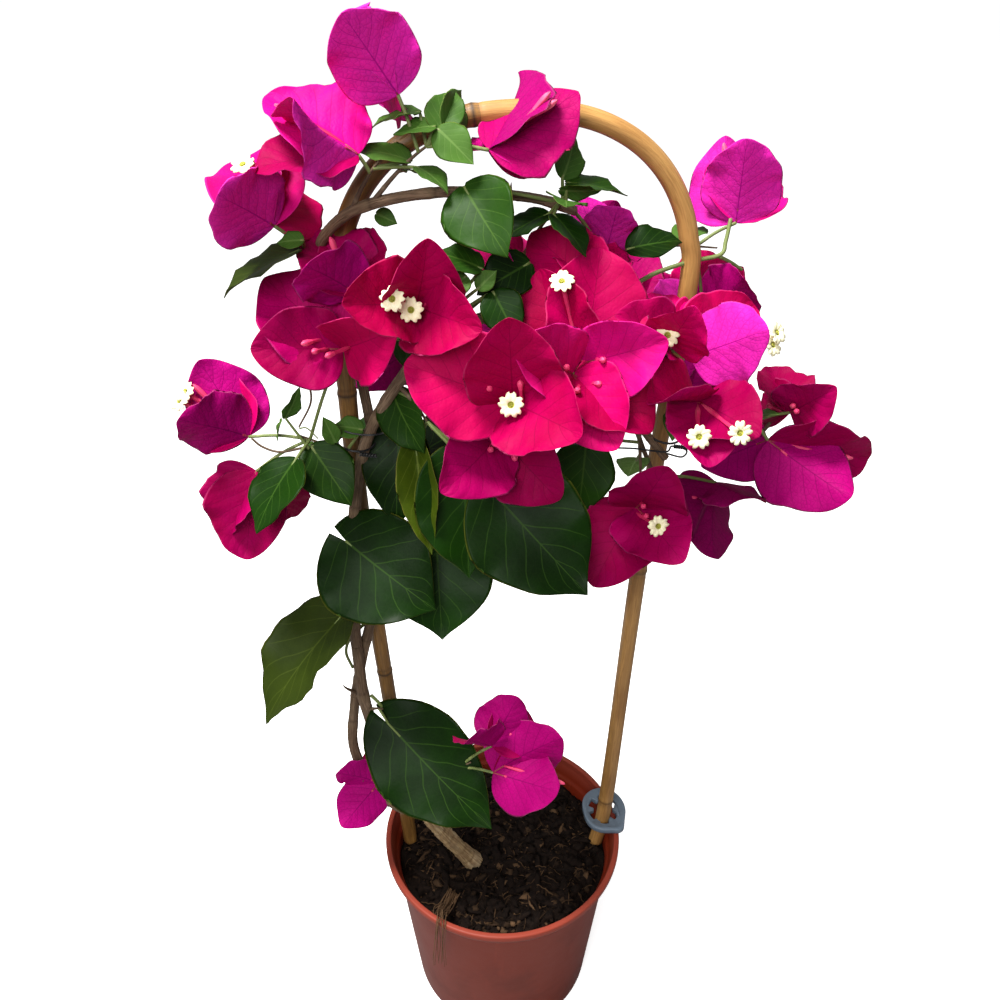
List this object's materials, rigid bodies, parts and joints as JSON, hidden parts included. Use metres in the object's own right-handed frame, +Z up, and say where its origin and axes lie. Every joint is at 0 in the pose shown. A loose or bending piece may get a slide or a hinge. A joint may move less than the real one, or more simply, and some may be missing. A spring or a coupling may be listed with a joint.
{
  "type": "potted bougainvillea bush",
  "caption": "Flowering bougainvillea bush with magenta bracts, its stems wound up a bamboo hoop that stands in a round terracotta-coloured nursery pot.",
  "frame": {"origin": "middle of the pot's flat underside", "axes": "+Z up, +X to the right and +Y to the back when the clip is at the right-hand foot of the hoop"},
  "size_m": [0.364, 0.2012, 0.6729],
  "materials": {
    "terracotta_plastic": "satin moulded plastic, terracotta brown",
    "potting_soil": "damp fibrous potting soil",
    "clip_plastic": "blue-grey moulded plastic",
    "bamboo": "dried cane with a dull sheen",
    "bark": "thin grey-brown bark",
    "wire": "thin dark coated wire",
    "bract": "papery magenta bracts with green leaves among them",
    "leaf": "dark green leaves with a soft sheen"
  },
  "bodies": {
    "root": {"pot": "terracotta_plastic", "soil": "potting_soil", "clip": "clip_plastic", "hoop_left_leg": "bamboo", "hoop_arch_left": "bamboo", "hoop_arch_top": "bamboo", "hoop_arch_right": "bamboo", "hoop_right_leg": "bamboo", "trunk": "bark", "stem_a_lower": "bark", "stem_a_upper": "bark", "stem_b_lower": "bark", "stem_b_middle": "bark", "stem_b_arch": "bark", "bough_heart": "bark", "bough_cut_stub": "bark", "bough_back_right": "bark", "bough_back_left": "bark", "tie_left": "wire", "tie_right": "wire", "spray_top": "bract", "spray_high_left": "bract", "spray_left": "bract", "spray_left_middle": "bract", "spray_left_leaves": "bract", "spray_inner_leaves": "bract", "spray_low_left_leaf": "leaf", "spray_low_leaf": "leaf", "spray_low_flower": "bract", "spray_foot": "bract", "spray_centre_left": "bract", "spray_centre": "bract", "spray_centre_right": "bract", "spray_arch_end": "bract", "spray_right_high": "bract", "spray_right": "bract", "spray_right_middle": "bract", "spray_far_right": "bract", "spray_right_low": "bract", "spray_back_high": "bract", "spray_back_right": "bract", "spray_back_middle": "bract", "spray_back_left": "bract", "spray_back_low": "leaf"}
  },
  "joints": []
}
